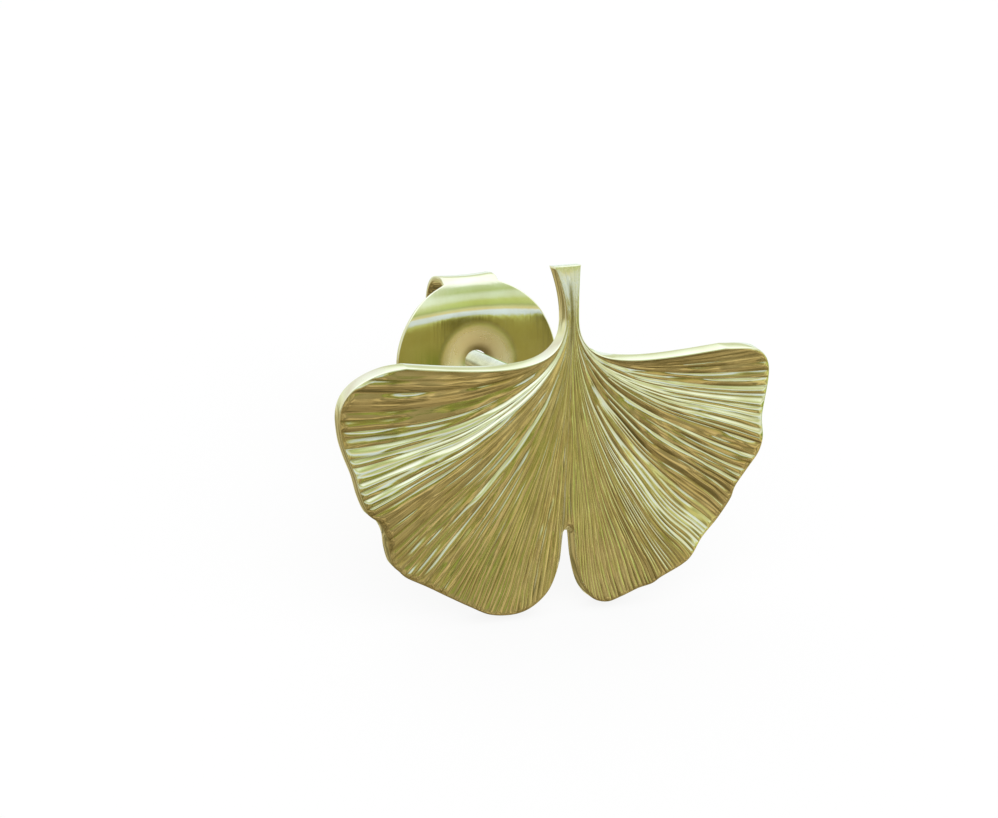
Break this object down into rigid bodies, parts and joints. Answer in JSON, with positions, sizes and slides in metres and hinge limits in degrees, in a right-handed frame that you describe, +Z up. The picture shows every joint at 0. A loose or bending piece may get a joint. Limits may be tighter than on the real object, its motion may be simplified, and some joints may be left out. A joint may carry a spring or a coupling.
{
  "type": "ginkgo leaf stud earring",
  "caption": "Polished yellow gold stud earring shaped as a ginkgo leaf: a cast fan with fine ribs, a short stem and a notched edge, on a straight post with a butterfly clutch.",
  "frame": {"origin": "centre of the bounding box at table level, with the earring leaning back on its two lobes and the clutch", "axes": "+X along the leaf's width, to the right seen from its front; +Y back along the table, the way the post points; +Z up"},
  "size_m": [0.0144, 0.0128, 0.0102],
  "materials": {
    "cast_gold": "polished",
    "drawn_gold": "polished",
    "stamped_gold": "polished"
  },
  "bodies": {
    "stud": {"leaf": "cast_gold", "post": "drawn_gold"},
    "clutch": {"clutch": "stamped_gold"}
  },
  "joints": [
    {"name": "clutch_slide", "type": "slide", "parent": "stud", "child": "clutch", "axis": [0, 0.9229, -0.3849], "range_m": [-0.0066, 0.0009]}
  ]
}
